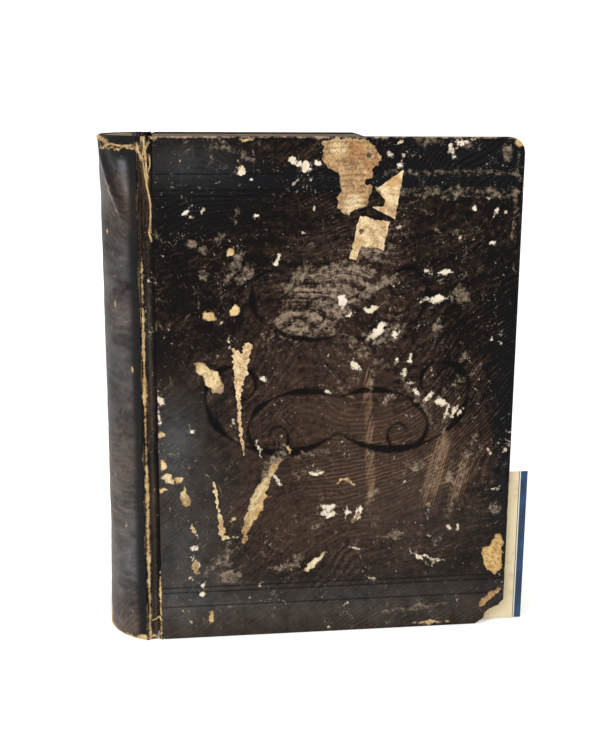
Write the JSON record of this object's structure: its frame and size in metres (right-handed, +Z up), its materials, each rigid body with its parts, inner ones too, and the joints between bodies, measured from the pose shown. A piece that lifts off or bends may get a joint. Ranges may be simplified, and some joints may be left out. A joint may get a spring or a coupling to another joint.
{
  "type": "antique cookbook",
  "caption": "Old hardback cookbook in worn moire-grained leather with a rounded back and two hinged covers, closed and standing on its tail.",
  "frame": {"origin": "middle of the closed book's footprint on the surface it stands on, with the tucked leaflet counted in", "axes": "+X from the back of the book to the fore edge, -Y out of the front cover, +Z up from tail to head"},
  "size_m": [0.2174, 0.0596, 0.254],
  "materials": {
    "page_paper": "aged book paper, edges darkened",
    "flyleaf_paper": "aged cream endpaper",
    "tape_cotton": "unbleached cotton tape",
    "mull_cloth": "open starched cotton",
    "lining_paper": "brown kraft paper",
    "band_cotton": "rolled cotton band",
    "leaflet_card": "cream coated card with a blue border",
    "spine_leather": "blue-black grained leather, worn tan at the ends",
    "inlay_card": "dark card",
    "joint_leather": "cracked grained leather",
    "pasteboard": "tan pasteboard",
    "cover_leather": "moire-grained brown-black leather, worn",
    "pastedown_paper": "aged endpaper",
    "newsprint": "browned newsprint",
    "label_paper": "torn white paper"
  },
  "bodies": {
    "book_block": {"text_block": "page_paper", "sewing_tape_head": "tape_cotton", "sewing_tape_middle": "tape_cotton", "sewing_tape_tail": "tape_cotton", "mull_lining": "mull_cloth", "spine_lining": "lining_paper", "head_band": "band_cotton", "tail_band": "band_cotton", "front_flyleaf": "flyleaf_paper", "rear_flyleaf": "flyleaf_paper", "tucked_leaflet": "leaflet_card", "spine_leather": "spine_leather", "spine_inlay": "inlay_card", "front_joint_leather": "joint_leather", "rear_joint_leather": "joint_leather"},
    "front_cover": {"front_board": "pasteboard", "front_cover_leather": "cover_leather", "front_pastedown": "pastedown_paper", "newsprint_patch": "newsprint", "newsprint_kite": "newsprint", "newsprint_strip": "newsprint", "paper_sliver_upper": "label_paper", "paper_sliver_lower": "label_paper"},
    "rear_cover": {"rear_board": "pasteboard", "rear_cover_leather": "cover_leather", "rear_pastedown": "pastedown_paper"}
  },
  "joints": [
    {"name": "front_cover_hinge", "type": "hinge", "parent": "book_block", "child": "front_cover", "pos_m": [-0.0861, -0.02967, 0.127], "axis": [0, 0, -1], "range_deg": [0, 178]},
    {"name": "rear_cover_hinge", "type": "hinge", "parent": "book_block", "child": "rear_cover", "pos_m": [-0.0861, 0.02983, 0.127], "axis": [0, 0, 1], "range_deg": [0, 178]}
  ]
}
